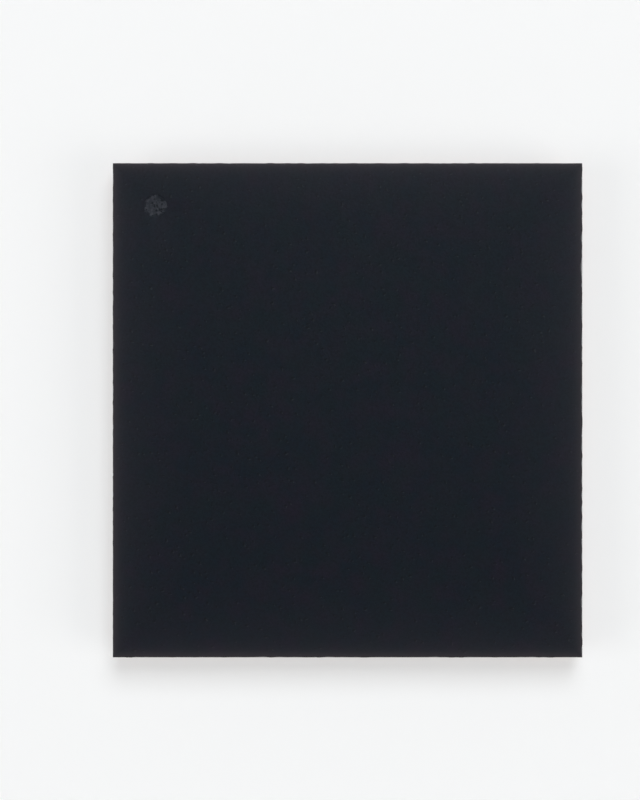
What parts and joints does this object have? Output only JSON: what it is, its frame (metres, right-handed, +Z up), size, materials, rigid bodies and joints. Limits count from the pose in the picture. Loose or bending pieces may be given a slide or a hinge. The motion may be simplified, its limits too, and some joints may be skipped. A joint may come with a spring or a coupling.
{
  "type": "power management chip",
  "caption": "Power management chip in a wafer-level package: a thin silicon die with a dark marking film on its back and a grid of solder balls on its copper-routed face.",
  "frame": {"origin": "on the seating plane at the bottoms of the balls, below the middle of the die", "axes": "+Z up, out of the marking face; +Y along the longer edge, towards the first row of balls; +X to the right as the marking face is seen with the index mark at its upper left"},
  "size_m": [0.0058, 0.006, 0.0006],
  "materials": {
    "marking_film": "dark navy satin film",
    "silicon": "sawn grey silicon",
    "die_metal": "bright metal",
    "base_polyimide": "dark amber film",
    "copper": "plated copper",
    "cover_polyimide": "clear amber film",
    "under_bump_copper": "plated copper",
    "solder": "mottled satin solder"
  },
  "bodies": {
    "root": {"marking_film": "marking_film", "silicon_die": "silicon", "seal_ring": "die_metal", "die_contact_pads": "die_metal", "polyimide_base": "base_polyimide", "ground_ring": "copper", "column_planes": "copper", "upper_power_planes": "copper", "lower_power_planes": "copper", "left_edge_traces": "copper", "top_edge_traces": "copper", "right_edge_traces": "copper", "bottom_edge_traces": "copper", "inner_pads": "copper", "polyimide_cover": "cover_polyimide", "under_bump_pads_row_a": "under_bump_copper", "under_bump_pads_row_b": "under_bump_copper", "under_bump_pads_row_c": "under_bump_copper", "under_bump_pads_row_d": "under_bump_copper", "under_bump_pads_row_e": "under_bump_copper", "under_bump_pads_row_f": "under_bump_copper", "under_bump_pads_row_g": "under_bump_copper", "under_bump_pads_row_h": "under_bump_copper", "under_bump_pads_row_j": "under_bump_copper", "under_bump_pads_row_k": "under_bump_copper", "under_bump_pads_row_l": "under_bump_copper", "under_bump_pads_row_m": "under_bump_copper", "under_bump_pads_row_n": "under_bump_copper", "under_bump_pads_row_p": "under_bump_copper", "solder_balls_row_a": "solder", "solder_balls_row_b": "solder", "solder_balls_row_c": "solder", "solder_balls_row_d": "solder", "solder_balls_row_e": "solder", "solder_balls_row_f": "solder", "solder_balls_row_g": "solder", "solder_balls_row_h": "solder", "solder_balls_row_j": "solder", "solder_balls_row_k": "solder", "solder_balls_row_l": "solder", "solder_balls_row_m": "solder", "solder_balls_row_n": "solder", "solder_balls_row_p": "solder"}
  },
  "joints": []
}
